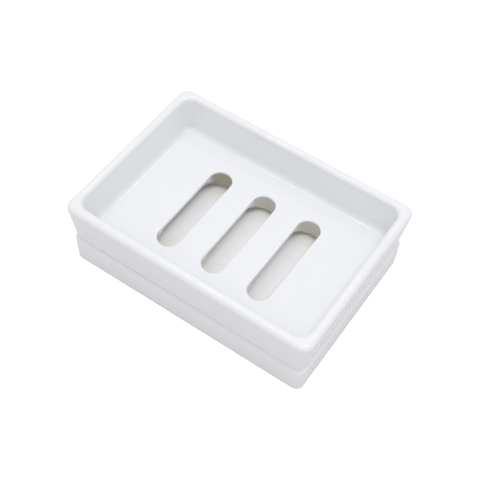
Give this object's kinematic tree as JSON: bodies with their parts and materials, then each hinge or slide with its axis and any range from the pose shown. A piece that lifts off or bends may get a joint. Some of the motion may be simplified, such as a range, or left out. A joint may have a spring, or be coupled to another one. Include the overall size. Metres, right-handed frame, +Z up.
{
  "type": "soap dish",
  "caption": "Rectangular two-layer glazed ceramic soap dish: a slotted drain tray with a sunk bed resting on a matching drip tray.",
  "frame": {"origin": "middle of the foot, on the surface that the dish stands on", "axes": "+X along the long side, +Y along the slots towards the far long wall, +Z up out of the soap bed"},
  "size_m": [0.1312, 0.0938, 0.0388],
  "materials": {
    "drain_tray_glaze": "gloss",
    "drip_tray_glaze": "gloss"
  },
  "bodies": {
    "root": {"drain_tray": "drain_tray_glaze", "drip_tray": "drip_tray_glaze"}
  },
  "joints": []
}
